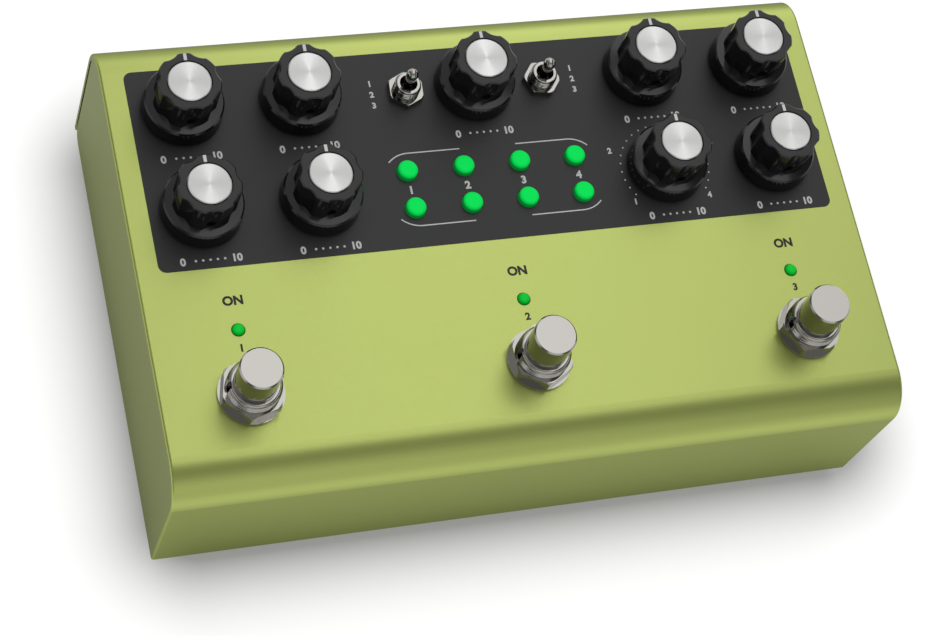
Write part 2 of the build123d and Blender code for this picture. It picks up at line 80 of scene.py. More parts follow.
def remap(tree, source, start, stop, low, high, interpolation="LINEAR"):
    """A value mapped from start and stop onto low and high, and held beyond them."""
    span = tree.nodes.new("ShaderNodeMapRange")
    span.interpolation_type = interpolation
    for name, value in (("From Min", start), ("From Max", stop), ("To Min", low), ("To Max", high)):
        span.inputs[name].default_value = value
    tree.links.new(source, span.inputs["Value"])
    return span.outputs["Result"]


def spread(material, source, low, high, socket):
    """Map the middle of a 0 to 1 value onto a range, or blend two colours by it, into a socket."""
    tree = material.node_tree
    if np.isscalar(low):
        tree.links.new(remap(tree, source, 0.3, 0.7, low, high), socket)
        return
    blend = tree.nodes.new("ShaderNodeMix")
    blend.data_type = "RGBA"
    factor, first, second = blend.inputs[0], blend.inputs[6], blend.inputs[7]
    first.default_value = (*low, 1)
    second.default_value = (*high, 1)
    tree.links.new(source, factor)
    tree.links.new(blend.outputs[2], socket)


def emboss(material, source, strength, depth):
    """Bump from a value, with its depth in metres."""
    tree = material.node_tree
    bump = tree.nodes.new("ShaderNodeBump")
    bump.inputs["Strength"].default_value = strength
    bump.inputs["Distance"].default_value = depth
    tree.links.new(source, bump.inputs["Height"])
    tree.links.new(bump.outputs["Normal"], tree.nodes["Principled BSDF"].inputs["Normal"])


def dress(material, *names):
    """Give CAD nodes a finish."""
    for name in names:
        slots = frame["nodes"][name].data.materials
        slots.clear()
        slots.append(material)


lime = (0.475, 0.55, 0.156)
lime_deep = (0.452, 0.524, 0.146)
shell_finish, shell_shader = finish_material("lime_anodised", lime, 1.0, 0.3)
shell_shader.inputs["Specular Tint"].default_value = (0.18, 0.165, 0.28, 1)
shell_shader.inputs["Coat Weight"].default_value = 0.22
shell_shader.inputs["Coat Roughness"].default_value = 0.3
blast = grain(shell_finish, 2600, 4)
spread(shell_finish, grain(shell_finish, 22, 2), lime_deep, lime, shell_shader.inputs["Base Color"])
spread(shell_finish, blast, 0.34, 0.39, shell_shader.inputs["Roughness"])
emboss(shell_finish, blast, 0.06, 0.02 * MM)
dress(shell_finish, "enclosure", "bottom_plate")
shell_low, shell_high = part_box("enclosure")
top = shell_high.z
rear = shell_high.y
middle = (shell_low.y + shell_high.y) / 2

# The control panel is a satin black ink field, screened over the green before assembly.
# It is open only where the controls come through the top.
panel_half_width = 83.6 * MM
panel_front = middle - 3.85 * MM
panel_rear = middle + 47.6 * MM
panel_corner = 2.0 * MM
ink = 0.05 * MM
ink_lift = 0.01 * MM
shaft_opening = 3.65 * MM
toggle_opening = 3.2 * MM
button_opening = 2.62 * MM
knob_names = [f"rear_{k}" for k in range(1, 6)] + [f"front_{k}" for k in range(1, 5)]
toggle_names = ("left", "right")
button_names = [f"{row}_{k}" for row in ("rear", "front") for k in range(1, 5)]


def node_centre(name):
    """Middle of a CAD node's box."""
    low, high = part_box(name)
    return (low + high) / 2


def place_mesh(name, mesh, material, body):
    """Give a mesh its finish and its name, and let it ride on a body."""
    mesh.materials.append(material)
    thing = bpy.data.objects.new(name, mesh)
    bpy.context.scene.collection.objects.link(thing)
    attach(thing, body)
    return thing


def ring_points(x, y, radius, count=48):
    """Points round a circle: centre plus radius times cosine and sine."""
    turn = np.linspace(0, 2 * np.pi, count, endpoint=False)
    return np.column_stack([x + radius * np.cos(turn), y + radius * np.sin(turn)])


def rounded_box_points(left, front, right, rear, corner, count=10):
    """Points round a rectangle whose corners are quarter circles."""
    quarter = np.linspace(0, np.pi / 2, count)
    centres = [(right - corner, rear - corner), (left + corner, rear - corner),
               (left + corner, front + corner), (right - corner, front + corner)]
    arcs = [np.column_stack([x + corner * np.cos(quarter + k * np.pi / 2),
                             y + corner * np.sin(quarter + k * np.pi / 2)])
            for k, (x, y) in enumerate(centres)]
    return np.concatenate(arcs)


def flat_outline_mesh(outlines, low, thickness):
    """Fill closed outlines, holes left open, as a flat sheet of some thickness from a height."""
    curve = bpy.data.curves.new("outline", "CURVE")
    curve.dimensions = "2D"
    curve.fill_mode = "BOTH"
    curve.extrude = thickness / 2
    for outline in outlines:
        spline = curve.splines.new("POLY")
        spline.points.add(len(outline) - 1)
        spline.points.foreach_set("co", np.column_stack(
            [outline, np.zeros(len(outline)), np.ones(len(outline))]).ravel())
        spline.use_cyclic_u = True
    holder = bpy.data.objects.new("outline", curve)
    bpy.context.scene.collection.objects.link(holder)
    mesh = bpy.data.meshes.new_from_object(holder.evaluated_get(bpy.context.evaluated_depsgraph_get()))
    bpy.data.objects.remove(holder)
    mesh.transform(Matrix.Translation((0, 0, low + thickness / 2)))
    return mesh


panel_outlines = [rounded_box_points(-panel_half_width, panel_front, panel_half_width, panel_rear,
                                     panel_corner)]
openings = [(f"shaft_{name}", shaft_opening) for name in knob_names]
openings += [(f"toggle_lever_{side}", toggle_opening) for side in toggle_names]
openings += [(f"button_{name}", button_opening) for name in button_names]
for name, radius in openings:
    centre = node_centre(name)
    panel_outlines.append(ring_points(centre.x, centre.y, radius))
panel_finish, panel_shader = finish_material("satin_black_ink", (0.022, 0.022, 0.0225), 0.0, 0.46)
panel_grain = grain(panel_finish, 2400)
spread(panel_finish, grain(panel_finish, 30, 2), (0.020, 0.020, 0.0205), (0.025, 0.025, 0.0256),
       panel_shader.inputs["Base Color"])
spread(panel_finish, panel_grain, 0.42, 0.52, panel_shader.inputs["Roughness"])
emboss(panel_finish, panel_grain, 0.15, 0.02 * MM)
panel_mesh = flat_outline_mesh(panel_outlines, top + ink_lift, ink)
place_mesh("control_panel_ink", panel_mesh, panel_finish, "base")

# Inside are two laminate boards under green mask, tied together and to the top by brass
# standoffs, with the potentiometers and tact switches soldered to the upper one.
board_finish, board_shader = finish_material("board_mask", (0.02, 0.12, 0.05), 0.0, 0.35)
spread(board_finish, grain(board_finish, 260, 2, (1, 6, 1)), (0.012, 0.09, 0.035), (0.03, 0.17, 0.07),
       board_shader.inputs["Base Color"])
dress(board_finish, "control_board", "main_board")

brass_finish, brass_shader = finish_material("turned_brass", (0.72, 0.52, 0.22), 1.0, 0.28)
spread(brass_finish, grain(brass_finish, 900, 2, (1, 1, 6)), 0.2, 0.36, brass_shader.inputs["Roughness"])
dress(brass_finish, "board_standoffs")

plated_finish, plated_shader = finish_material("plated_steel", (0.58, 0.58, 0.57), 1.0, 0.34)
spread(plated_finish, grain(plated_finish, 700), 0.26, 0.42, plated_shader.inputs["Roughness"])
dress(plated_finish, "pot_housings")

moulded_finish, moulded_shader = finish_material("moulded_black", (0.02, 0.02, 0.021), 0.0, 0.5)
moulded_grain = grain(moulded_finish, 1500)
spread(moulded_finish, moulded_grain, 0.42, 0.6, moulded_shader.inputs["Roughness"])
emboss(moulded_finish, moulded_grain, 0.15, 0.02 * MM)
dress(moulded_finish, "button_switches", "round_sockets", "power_inlet")

# The knobs are moulded in black phenolic: polished flutes and skirt, and a satin top. Each
# is pushed on a turned aluminium shaft.
knob_low, knob_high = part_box("knob_rear_1")
knob_top = knob_high.z
polished_black = (0.010, 0.010, 0.011)
satin_black = (0.030, 0.030, 0.031)
knob_finish, knob_shader = finish_material("knob_phenolic", polished_black, 0.0, 0.12)


def beyond(material, axis, start, stop):
    """How far Object coordinates have gone along an axis, 0 at start and 1 at stop."""
    tree = material.node_tree
    parts = tree.nodes.new("ShaderNodeSeparateXYZ")
    tree.links.new(tree.nodes.new("ShaderNodeTexCoord").outputs["Object"], parts.inputs["Vector"])
    return remap(tree, parts.outputs[axis], start, stop, 0.0, 1.0)


satin_start, satin_full = knob_top - 0.12 * MM, knob_top - 0.04 * MM
at_top = beyond(knob_finish, "Z", satin_start, satin_full)
spread(knob_finish, at_top, 0.12, 0.5, knob_shader.inputs["Roughness"])
spread(knob_finish, at_top, polished_black, satin_black, knob_shader.inputs["Base Color"])
emboss(knob_finish, grain(knob_finish, 3000, 2), 0.08, 0.01 * MM)
dress(knob_finish, *[f"knob_{name}" for name in knob_names])

shaft_finish, shaft_shader = finish_material("turned_shaft", (0.7, 0.7, 0.69), 1.0, 0.3)
spread(shaft_finish, grain(shaft_finish, 800, 2, (1, 1, 8)), 0.22, 0.38, shaft_shader.inputs["Roughness"])
dress(shaft_finish, *[f"shaft_{name}" for name in knob_names])

# A blackened grub screw with a hexagon socket runs in the side of each knob and locks it to
# the flat of its shaft.
grub_rise = 6.3 * MM
grub_face = 5.9 * MM
grub_radius = 1.02 * MM
grub_chamfer = 0.15 * MM
grub_length = 2.4 * MM
hexagon_half = 0.45 * MM
hexagon_depth = 0.9 * MM
hexagon_point = 0.2 * MM
lathe_sides = 48
weld_distance = 0.0005 * MM


def grid_faces(rows, columns, wrap):
    """Quads over a grid of points numbered row by row, closed round the columns if asked."""
    across = np.arange(columns if wrap else columns - 1)
    down = np.arange(rows - 1)[:, None]
    after = (across + 1) % columns
    first = down * columns
    return np.stack([first + across, first + after, first + columns + after, first + columns + across],
                    axis=-1).reshape(-1, 4)


def piece(name, shapes, material, body, smooth_angle=None):
    """Join point and face arrays into one mesh piece, welded where they meet."""
    starts = np.cumsum([0] + [len(points) for points, faces in shapes])
    points = np.concatenate([points for points, faces in shapes])
    faces = [tuple(np.add(face, start)) for (unused, rows), start in zip(shapes, starts) for face in rows]
    mesh = bpy.data.meshes.new(name)
    mesh.from_pydata(points.tolist(), [], faces)
    welded = bmesh.new()
    welded.from_mesh(mesh)
    bmesh.ops.remove_doubles(welded, verts=welded.verts, dist=weld_distance)
    welded.to_mesh(mesh)
    welded.free()
    if smooth_angle:
        mesh.polygons.foreach_set("use_smooth", np.ones(len(mesh.polygons), bool))
        mesh.set_sharp_from_angle(angle=math.radians(smooth_angle))
    return place_mesh(name, mesh, material, body)


def lathe_y(profile, x, z, facing=1, count=lathe_sides):
    """Rows of radius and place on Y carried round an axis along Y, going out the way it faces."""
    turn = np.linspace(0, 2 * np.pi, count, endpoint=False)
    radius = np.stack([np.broadcast_to(row, count) for row, place in profile])
    along = np.array([place for row, place in profile])[:, None] + 0 * turn
    points = np.stack([x + radius * np.cos(turn), along, z - facing * radius * np.sin(turn)], axis=-1)
    return points.reshape(-1, 3), grid_faces(len(profile), count, True)


steel_finish, steel_shader = finish_material("blackened_steel", (0.05, 0.05, 0.055), 1.0, 0.4)
spread(steel_finish, grain(steel_finish, 900), 0.32, 0.48, steel_shader.inputs["Roughness"])
sixth = np.linspace(0, 2 * np.pi, lathe_sides, endpoint=False) % (np.pi / 3) - np.pi / 6
hexagon = hexagon_half / np.cos(sixth)
for name in knob_names:
    centre = node_centre(f"shaft_{name}")
    face = centre.y - grub_face
    profile = [(grub_radius, face + grub_length), (grub_radius, face + grub_chamfer),
               (grub_radius - grub_chamfer, face), (hexagon, face), (hexagon, face + hexagon_depth),
               (0.0, face + hexagon_depth + hexagon_point)]
    shape = lathe_y(profile, centre.x, knob_low.z + grub_rise, -1)
    piece(f"grub_screw_{name}", [shape], steel_finish, f"turn_{name}", 30)

# Each cap is a spun aluminium disc, pressed into the knob's top. Its fine turned grooves run
# round its own axis and spread the light away from it, into fans.
groove_pitch = 0.35 * MM
groove_depth = 0.003 * MM
cap_colour = (0.75, 0.75, 0.742)
for name in knob_names:
    centre = node_centre(f"knob_cap_{name}")
    cap_finish, cap_shader = finish_material(f"spun_aluminium_{name}", cap_colour, 1.0, 0.34)
    cap_shader.inputs["Anisotropic"].default_value = 1.0
    cap_tree = cap_finish.node_tree
    outward = cap_tree.nodes.new("ShaderNodeMapping")
    outward.inputs["Location"].default_value = (-centre.x, -centre.y, 0)
    outward.inputs["Scale"].default_value = (1, 1, 0)
    cap_tree.links.new(cap_tree.nodes.new("ShaderNodeTexCoord").outputs["Object"], outward.inputs["Vector"])
    across_grooves = cap_tree.nodes.new("ShaderNodeVectorTransform")
    across_grooves.vector_type = "VECTOR"
    across_grooves.convert_from = "OBJECT"
    across_grooves.convert_to = "WORLD"
    cap_tree.links.new(outward.outputs["Vector"], across_grooves.inputs["Vector"])
    cap_tree.links.new(across_grooves.outputs["Vector"], cap_shader.inputs["Tangent"])
    grooves = cap_tree.nodes.new("ShaderNodeTexWave")
    grooves.wave_type = "RINGS"
    grooves.rings_direction = "Z"
    grooves.inputs["Scale"].default_value = math.pi / 10 / groove_pitch
    cap_tree.links.new(outward.outputs["Vector"], grooves.inputs["Vector"])
    spread(cap_finish, grooves.outputs["Fac"], 0.31, 0.37, cap_shader.inputs["Roughness"])
    emboss(cap_finish, grooves.outputs["Fac"], 1.0, groove_depth)
    dress(cap_finish, f"knob_cap_{name}")

# The pointer is a white line of enamel, run into a groove on the lobe that shows the setting.
pointer_width = 0.75 * MM
pointer_inner = 5.45 * MM
pointer_outer = 7.2 * MM
pointer_corner = 0.08 * MM
pointer_rise = 0.03 * MM
pointer_finish, pointer_shader = finish_material("pointer_white", (0.9, 0.9, 0.89), 0.0, 0.5)
spread(pointer_finish, grain(pointer_finish, 1500), (0.86, 0.86, 0.85), (0.94, 0.94, 0.93),
       pointer_shader.inputs["Base Color"])
for name in knob_names:
    centre = node_centre(f"shaft_{name}")
    line = rounded_box_points(centre.x - pointer_width / 2, centre.y + pointer_inner,
                              centre.x + pointer_width / 2, centre.y + pointer_outer, pointer_corner, 4)
    line_mesh = flat_outline_mesh([line], knob_top, pointer_rise)
    place_mesh(f"pointer_{name}", line_mesh, pointer_finish, f"turn_{name}")

# The toggle switches are turned and pressed brass, plated with bright nickel that has a
# slightly warm cast. Their bushings are threaded and a nut holds each in the top.
nickel = (0.42, 0.408, 0.382)
nickel_finish, nickel_shader = finish_material("bright_nickel", nickel, 1.0, 0.1)
spread(nickel_finish, grain(nickel_finish, 600, 2), 0.05, 0.09, nickel_shader.inputs["Roughness"])
dress(nickel_finish, "toggle_bodies", "toggle_nuts", "toggle_lever_left", "toggle_lever_right")
toggle_thread = 3.0 * MM
toggle_pitch = 0.75 * MM
toggle_thread_depth = 0.25 * MM
toggle_thread_low, toggle_thread_high = top + 1.8 * MM, top + 4.3 * MM
thread_skin = 0.01 * MM
thread_runout = 0.5
thread_sides = 120
rows_per_turn = 10


def screw_thread(low, high, radius, pitch, depth, keyway=None):
    """Radius plus depth times a triangle wave of length over pitch less turn: rows, turns, radii."""
    turn = np.linspace(0, 2 * np.pi, thread_sides, endpoint=False)[None, :]
    rise = np.linspace(low, high, int((high - low) / pitch * rows_per_turn) + 1)[:, None]
    phase = (rise / pitch - turn / (2 * np.pi)) % 1.0
    fade = np.clip(np.minimum(rise - low, high - rise) / (thread_runout * pitch), 0, 1)
    around = radius + thread_skin + depth * (1 - np.abs(2 * phase - 1)) * fade
    if keyway:
        slot_half, slot_radius = keyway
        beside = np.abs(radius * np.sin(turn)) < slot_half
        notch = (slot_radius + thread_skin) / np.maximum(np.abs(np.cos(turn)), 0.2)
        around = np.where(beside & (np.cos(turn) < 0), notch, around)
    return rise, turn, around


def upright_thread(x, y, low, high, radius, pitch, depth, keyway=None):
    """A screw thread on an axis along Z."""
    rise, turn, around = screw_thread(low, high, radius, pitch, depth, keyway)
    points = np.stack([x + around * np.cos(turn), y + around * np.sin(turn), rise + 0 * turn], axis=-1)
    return points.reshape(-1, 3), grid_faces(*around.shape, True)


for side in toggle_names:
    centre = node_centre(f"toggle_lever_{side}")
    thread = upright_thread(centre.x, centre.y, toggle_thread_low, toggle_thread_high, toggle_thread,
                            toggle_pitch, toggle_thread_depth)
    piece(f"toggle_thread_{side}", [thread], nickel_finish, "base", 40)

# The push buttons are translucent caps, lit from below by green lamps on the board, so they glow.
# Their sides are painted shade, with a darker base colour and glow below the top. They run in the top and
# press on tact switches.
button_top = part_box("button_rear_1")[1].z
button_painted_shade_height = 0.8 * MM
button_finish, button_shader = finish_material("lit_green_cap", (0.004, 0.72, 0.10), 0.0, 0.38)
button_shader.inputs["Emission Strength"].default_value = 0.56
button_shader.inputs["Specular IOR Level"].default_value = 0.04
button_shader.inputs["Subsurface Weight"].default_value = 0.2
button_shader.inputs["Subsurface Radius"].default_value = (0.0005, 0.001, 0.0006)
# Painted shade: base colour and glow darken down the lowest part of each cap's side.
button_painted_side_shade = beyond(button_finish, "Z", button_top - button_painted_shade_height, button_top)
spread(button_finish, button_painted_side_shade, (0.002, 0.26, 0.036), (0.004, 0.74, 0.105),
       button_shader.inputs["Base Color"])
spread(button_finish, button_painted_side_shade, (0.001, 0.19, 0.022), (0.002, 0.64, 0.078),
       button_shader.inputs["Emission Color"])
spread(button_finish, grain(button_finish, 900, 2), 0.33, 0.43, button_shader.inputs["Roughness"])
dress(button_finish, *[f"button_{name}" for name in button_names])

# The indicator lamps are small green lenses, pressed up through the top from below, so that
# they stand just proud of it. They glow, and their sides are painted shade, darker in base colour and glow.
lamp_low, lamp_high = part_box("indicator_lamps")
lamp_painted_shade_height = 0.8 * MM
lamp_finish, lamp_shader = finish_material("green_lens", (0.003, 0.40, 0.03), 0.0, 0.15)
lamp_shader.inputs["Emission Strength"].default_value = 0.62
lamp_shader.inputs["Specular IOR Level"].default_value = 0.08
# Painted shade: base colour and glow darken down the lowest part of each lens's side.
lamp_painted_side_shade = beyond(lamp_finish, "Z", lamp_high.z - lamp_painted_shade_height, lamp_high.z)
spread(lamp_finish, lamp_painted_side_shade, (0.002, 0.16, 0.01), (0.004, 0.44, 0.035), lamp_shader.inputs["Base Color"])
spread(lamp_finish, lamp_painted_side_shade, (0.001, 0.12, 0.006), (0.002, 0.5, 0.03), lamp_shader.inputs["Emission Color"])
spread(lamp_finish, grain(lamp_finish, 1200, 2), 0.12, 0.18, lamp_shader.inputs["Roughness"])
dress(lamp_finish, "indicator_lamps")

# The foot switches are nickel plated like the toggles: a threaded bushing with a keyway down
# one side, a flat washer, a chamfered nut and a polished plunger.
switch_names = ("left", "middle", "right")
switch_thread = 6.0 * MM
switch_pitch = 1.0 * MM
switch_thread_depth = 0.34 * MM
switch_thread_low, switch_thread_high = top + 3.7 * MM, top + 6.4 * MM
keyway_half = 0.8 * MM
keyway_floor = 5.4 * MM
dress(nickel_finish, "footswitch_bodies", "footswitch_nuts", "footswitch_washers",
      *[f"footswitch_plunger_{side}" for side in switch_names])
for side in switch_names:
    centre = node_centre(f"footswitch_plunger_{side}")
    thread = upright_thread(centre.x, centre.y, switch_thread_low, switch_thread_high, switch_thread,
                            switch_pitch, switch_thread_depth, (keyway_half, keyway_floor))
    piece(f"footswitch_thread_{side}", [thread], nickel_finish, "base", 40)

# The jacks are black mouldings with a plated, threaded nose that comes through the rear wall
# and takes a nut.
mounts = {mount["name"]: Vector(mount["pos_m"]) for mount in frame["record"]["mounts"]}
jack_names = [f"jack_bore_{k}" for k in range(1, 6)]
jack_thread = 4.7 * MM
jack_pitch = 0.75 * MM
jack_thread_depth = 0.12 * MM
jack_thread_start, jack_thread_stop = rear + 2.5 * MM, rear + 4.6 * MM
jack_black = (0.02, 0.02, 0.021)
jack_finish, jack_shader = finish_material("jack_moulding", jack_black, 0.0, 0.5)
nose_blend = 0.1 * MM
jack_nose = beyond(jack_finish, "Y", rear - nose_blend, rear + nose_blend)
spread(jack_finish, jack_nose, jack_black, nickel, jack_shader.inputs["Base Color"])
spread(jack_finish, jack_nose, 0.0, 1.0, jack_shader.inputs["Metallic"])
spread(jack_finish, jack_nose, 0.5, 0.14, jack_shader.inputs["Roughness"])
dress(jack_finish, "audio_jacks")
dress(nickel_finish, "jack_nuts")
for number, name in enumerate(jack_names, 1):
    spot = mounts[name]
    rise, turn, around = screw_thread(jack_thread_start, jack_thread_stop, jack_thread, jack_pitch,
                                      jack_thread_depth)
    points = np.stack([spot.x + around * np.cos(turn), rise + 0 * turn, spot.z - around * np.sin(turn)],
                      axis=-1)
    thread = (points.reshape(-1, 3), grid_faces(*around.shape, True))
    piece(f"jack_thread_{number}", [thread], nickel_finish, "base", 40)

# The round sockets have a plated screening shell in their groove, and five contacts round
# the lower half of the core, each a plated eyelet. Each hole is a flat black disc just proud of the rear
# face: painted shade.
socket_outer = 6.85 * MM
socket_inner = 6.5 * MM
socket_floor = rear - 6.8 * MM
socket_lip = rear - 0.15 * MM
socket_sides = 96
contact_circle = 3.5 * MM
contact_radius = 0.85 * MM
contact_hole = 0.52 * MM
contact_lip = rear + 0.08 * MM
contact_sides = 32
hole_shade_face = rear + 0.01 * MM
# Painted shade: a near-black flat disc stands in for the depth of each contact hole.
hole_painted_shade_finish, hole_painted_shade_shader = finish_material("contact_hole", (0.004, 0.004, 0.004), 0.0, 0.8)
spread(hole_painted_shade_finish, grain(hole_painted_shade_finish, 2000), 0.7, 0.9, hole_painted_shade_shader.inputs["Roughness"])
socket_metal = []
socket_hole_shade_discs = []
for name in ("round_socket_1", "round_socket_2"):
    spot = mounts[name]
    socket_metal.append(lathe_y([(socket_outer, socket_floor), (socket_outer, socket_lip),
                                 (socket_inner, socket_lip), (socket_inner, socket_floor)],
                                spot.x, spot.z, 1, socket_sides))
    for swing in np.radians((-90, -45, 0, 45, 90)):
        x, z = spot.x + contact_circle * np.sin(swing), spot.z - contact_circle * np.cos(swing)
        socket_metal.append(lathe_y([(contact_radius, rear), (contact_radius, contact_lip),
                                     (contact_hole, contact_lip), (contact_hole, rear)],
                                    x, z, 1, contact_sides))
        socket_hole_shade_discs.append(lathe_y([(contact_hole, hole_shade_face), (0.0, hole_shade_face)], x, z, 1, contact_sides))
piece("round_socket_contacts", socket_metal, nickel_finish, "base", 40)
piece("round_socket_holes", socket_hole_shade_discs, hole_painted_shade_finish, "base")

# The power inlet has a plated centre pin that ends inside its mouth, and the data socket is a
# folded steel shell round a black tongue.
pin_radius = 1.0 * MM
pin_chamfer = 0.3 * MM
pin_floor = rear - 8.8 * MM
pin_tip = rear - 1.0 * MM
power = mounts["power_inlet"]
pin = lathe_y([(pin_radius, pin_floor), (pin_radius, pin_tip - pin_chamfer),
               (pin_radius - pin_chamfer, pin_tip), (0.0, pin_tip)], power.x, power.z)
piece("power_pin", [pin], nickel_finish, "base", 40)

tongue_half_width = 3.4 * MM
tongue_half_height = 0.5 * MM
tongue_edge = 0.02 * MM
shell_steel = (0.58, 0.58, 0.57)
data = mounts["data_socket"]
data_finish, data_shader = finish_material("data_shell", shell_steel, 1.0, 0.3)


def math_node(tree, operation, first, second=None):
    """A Math node; each input is a socket to link or a plain number."""
    node = tree.nodes.new("ShaderNodeMath")
    node.operation = operation
    for socket, value in zip(node.inputs, (first, second)):
        if isinstance(value, bpy.types.NodeSocket):
            tree.links.new(value, socket)
        elif value is not None:
            socket.default_value = value
    return node.outputs[0]


data_tree = data_finish.node_tree
edges = [beyond(data_finish, axis, centre + side * (half + tongue_edge), centre + side * half)
         for axis, centre, half in (("X", data.x, tongue_half_width), ("Z", data.z, tongue_half_height))
         for side in (-1, 1)]
tongue = edges[0]
for edge in edges[1:]:
    tongue = math_node(data_tree, "MULTIPLY", tongue, edge)
spread(data_finish, tongue, shell_steel, (0.015, 0.015, 0.016), data_shader.inputs["Base Color"])
spread(data_finish, tongue, 1.0, 0.0, data_shader.inputs["Metallic"])
spread(data_finish, grain(data_finish, 900), 0.26, 0.38, data_shader.inputs["Roughness"])
dress(data_finish, "data_socket")

# Six pan-head screws of blackened steel hold the bottom plate to the flanges. Each head has a
# pressed cross recess.
screw_low, screw_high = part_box("bottom_screws")
screw_head = 2.8 * MM
screw_shank = 1.45 * MM
screw_flat = 1.9 * MM
screw_head_height = 1.8 * MM
recess_depth = 1.1 * MM
recess_half = 0.36 * MM
recess_reach = 1.5 * MM
recess_wall = 0.08 * MM
recess_fall = 0.6
head_bow = 0.9 * MM
flat_rows = 27


def cross_screw(x, y, low, high):
    """Pan head and shank turned round Z; the flat sinks in a cross, deepest at its middle."""
    turn = np.linspace(0, 2 * np.pi, 96, endpoint=False)[None, :]
    flat = np.linspace(0, screw_flat, flat_rows)
    bow = np.linspace(0, np.pi / 2, 8)[1:]
    radius = np.concatenate([flat, screw_flat + (screw_head - screw_flat) * np.sin(bow),
                             [screw_head, screw_shank, screw_shank, 0]])[:, None]
    place = np.concatenate([np.full(flat_rows, low), low + head_bow * (1 - np.cos(bow)),
                            [low + screw_head_height, low + screw_head_height, high, high]])[:, None]
    east, north = radius * np.cos(turn), radius * np.sin(turn)
    long_side = np.maximum(np.abs(east), np.abs(north))
    short_side = np.minimum(np.abs(east), np.abs(north))
    wall = np.clip((recess_half - short_side) / recess_wall, 0, 1)
    sink = recess_depth * wall * np.clip(1 - long_side / recess_reach, 0, 1) ** recess_fall
    on_face = (np.arange(len(radius)) < flat_rows)[:, None]
    points = np.stack([x + east, y - north, place + np.where(on_face, sink, 0)], axis=-1)
    return points.reshape(-1, 3), grid_faces(*east.shape, True)[:, ::-1]


screw_shapes = [cross_screw(x, y, screw_low.z, screw_high.z)
                for x in (screw_low.x + screw_head, 0.0, screw_high.x - screw_head)
                for y in (screw_low.y + screw_head, screw_high.y - screw_head)]
screws = piece("cross_screws", screw_shapes, steel_finish, "base", 30)
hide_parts("bottom_screws")
dress(steel_finish, "bottom_screws")

# Four feet of moulded rubber are stuck under the plate.
# Their skin is matt, with a fine moulding grain.
foot_finish, foot_shader = finish_material("foot_rubber", (0.022, 0.022, 0.022), 0.0, 0.85)
foot_grain = grain(foot_finish, 1800)
spread(foot_finish, foot_grain, (0.016, 0.016, 0.016), (0.03, 0.03, 0.03), foot_shader.inputs["Base Color"])
emboss(foot_finish, foot_grain, 0.3, 0.04 * MM)
dress(foot_finish, "rubber_feet")

# Screened marks: white on the panel, black on the green. They are plain numbers and rules,
# a dotted scale under every knob first.
white_ink, white_shader = finish_material("white_ink", (0.84, 0.84, 0.83), 0.0, 0.55)
spread(white_ink, grain(white_ink, 900, 2), (0.80, 0.80, 0.79), (0.88, 0.88, 0.87),
       white_shader.inputs["Base Color"])
black_ink, black_shader = finish_material("black_ink", (0.018, 0.017, 0.01), 0.0, 0.5)
spread(black_ink, grain(black_ink, 900, 2), (0.012, 0.012, 0.006), (0.024, 0.023, 0.014),
       black_shader.inputs["Base Color"])
mark_lift = 0.02 * MM
mark_low = top + ink_lift + ink + mark_lift
stroke_gain = 0.045
dot_sides = 16


def lettering(text, cap_height, x, y, low):
    """Lettering of a given height, centred on a place, as a flat mesh: points and faces."""
    curve = bpy.data.curves.new("lettering", "FONT")
    curve.body = text
    curve.size = 0.01
    curve.offset = stroke_gain * curve.size
    holder = bpy.data.objects.new("lettering", curve)
    bpy.context.scene.collection.objects.link(holder)
    mesh = bpy.data.meshes.new_from_object(holder.evaluated_get(bpy.context.evaluated_depsgraph_get()))
    bpy.data.objects.remove(holder)
    points = np.empty(len(mesh.vertices) * 3)
    mesh.vertices.foreach_get("co", points)
    points = points.reshape(-1, 3)
    faces = [tuple(face.vertices) for face in mesh.polygons]
    bpy.data.meshes.remove(mesh)
    low_corner, high_corner = points.min(0), points.max(0)
    scale = cap_height / (high_corner[1] - low_corner[1])
    points = (points - (low_corner + high_corner) / 2) * scale + (x, y, 0)
    points[:, 2] = low
    return points, faces


def rule(path, width, low):
    """A ribbon along a path: each point moved half the width to both sides of the line."""
    path = np.asarray(path, float)
    along = np.gradient(path, axis=0)
    along /= np.linalg.norm(along, axis=1)[:, None]
    beside = np.column_stack([along[:, 1], -along[:, 0]]) * width / 2
    flat = np.stack([path - beside, path + beside]).transpose(1, 0, 2).reshape(-1, 2)
    return np.column_stack([flat, np.full(len(flat), low)]), grid_faces(len(path), 2, False)


def dot(x, y, radius, low):
    """A flat round dot: one face with its corners on a circle."""
    corners = ring_points(x, y, radius, dot_sides)
    return np.column_stack([corners, np.full(dot_sides, low)]), [tuple(range(dot_sides))]


white_marks = []
label_height = 2.0 * MM
label_drop = 12.5 * MM
label_half = 6.4 * MM
scale_dot = 0.3 * MM
scale_steps = np.linspace(-3.4, 3.4, 5) * MM
for name in knob_names:
    centre = node_centre(f"shaft_{name}")
    row = centre.y - label_drop
    white_marks.append(lettering("0", label_height, centre.x - label_half, row, mark_low))
    white_marks.append(lettering("10", label_height, centre.x + label_half, row, mark_low))
    white_marks += [dot(centre.x + step, row, scale_dot, mark_low) for step in scale_steps]

# A scale of fine dots runs three quarters round the third knob of the front row, with four
# numbers outside it.
ring_knob = node_centre("shaft_front_3")
ring_radius = 11.2 * MM
ring_half_sweep = math.radians(125.7)
ring_turns = np.linspace(-ring_half_sweep, ring_half_sweep, 23)
ring_dot = 0.2 * MM
fine_height = 1.6 * MM
white_marks += [dot(ring_knob.x + ring_radius * np.sin(turn), ring_knob.y + ring_radius * np.cos(turn),
                    ring_dot, mark_low) for turn in ring_turns]
for text, x, y in (("1", -9.6, -8.4), ("2", -13.0, 5.6), ("3", 13.4, 5.6), ("4", 9.6, -8.4)):
    white_marks.append(lettering(text, fine_height, ring_knob.x + x * MM, ring_knob.y + y * MM, mark_low))

